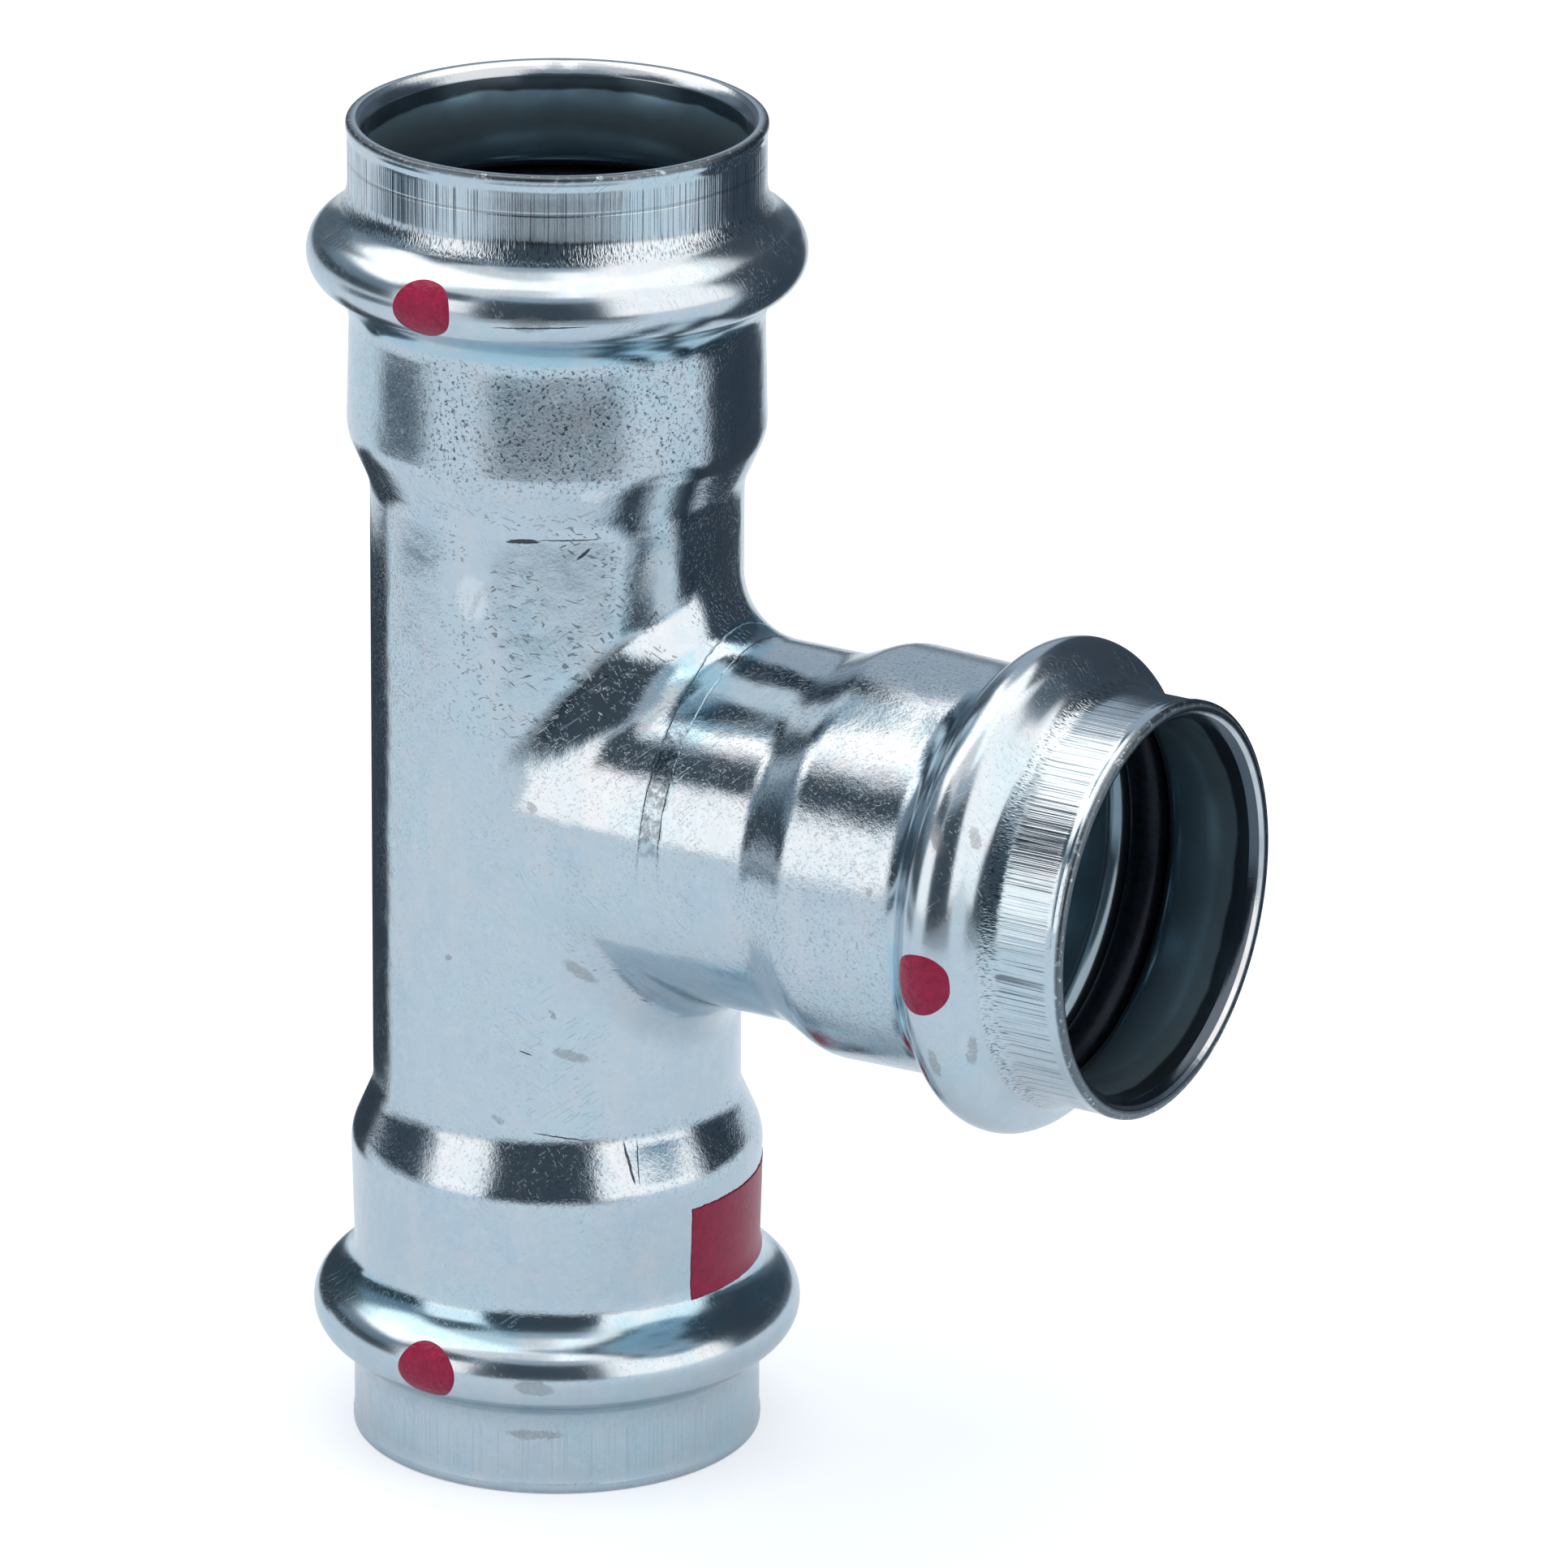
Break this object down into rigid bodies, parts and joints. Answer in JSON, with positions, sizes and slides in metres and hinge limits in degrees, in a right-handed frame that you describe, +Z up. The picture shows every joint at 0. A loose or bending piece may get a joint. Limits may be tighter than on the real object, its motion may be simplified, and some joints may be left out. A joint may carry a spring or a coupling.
{
  "type": "press tee",
  "caption": "Equal press tee: straight tube run with a right-angled branch, and a beaded press socket with a seal ring at each end.",
  "frame": {"origin": "centre of the lower mouth, in the plane of its end face, which the tee stands on", "axes": "+Z up along the run, +X outwards along the branch, +Y to the tee's plain side, away from the paint dots"},
  "size_m": [0.0713, 0.0373, 0.104],
  "materials": {
    "zinc_steel": "bright zinc-plated carbon steel, finely grained, with scratches",
    "seal_rubber": "black, slightly glossy, oiled",
    "red_paint": "thin crimson paint, semi-gloss"
  },
  "bodies": {
    "root": {"tee_body": "zinc_steel", "upper_seal_ring": "seal_rubber", "lower_seal_ring": "seal_rubber", "branch_seal_ring": "seal_rubber", "upper_paint_dot": "red_paint", "lower_paint_dot": "red_paint", "branch_paint_dot": "red_paint", "printed_block": "red_paint"}
  },
  "joints": []
}
